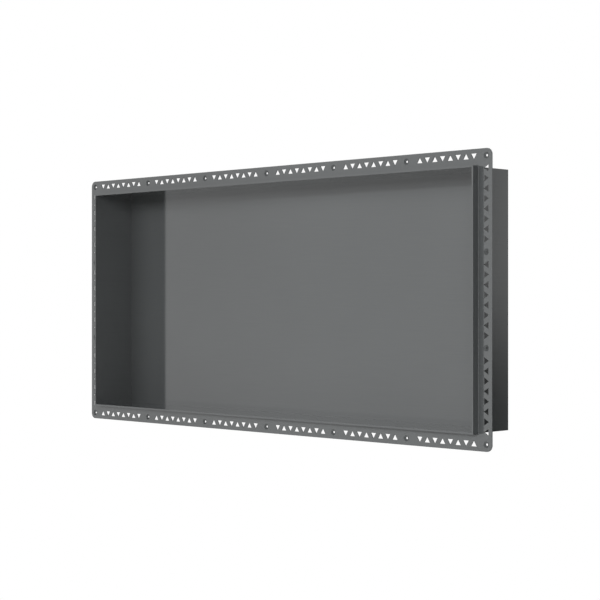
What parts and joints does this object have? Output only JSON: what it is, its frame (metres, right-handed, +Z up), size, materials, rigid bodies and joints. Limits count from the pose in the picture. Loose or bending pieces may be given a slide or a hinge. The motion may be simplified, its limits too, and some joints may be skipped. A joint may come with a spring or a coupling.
{
  "type": "shower niche insert",
  "caption": "Shallow rectangular sheet-metal wall niche, open at the front, with a thin tile lip and a flat flange ring pierced by dimpled screw holes and triangular mortar keys.",
  "frame": {"origin": "middle of the flange's back face, the plane that lies against the wall, level with the centre of the screw pattern", "axes": "+X along the width to the right as seen from the room, +Y into the wall, +Z up"},
  "size_m": [0.8636, 0.079, 0.4064],
  "materials": {
    "gunmetal_steel": "satin, dark grey coated stainless sheet with a fine horizontal brushed grain"
  },
  "bodies": {
    "root": {"niche_insert": "gunmetal_steel"}
  },
  "joints": []
}
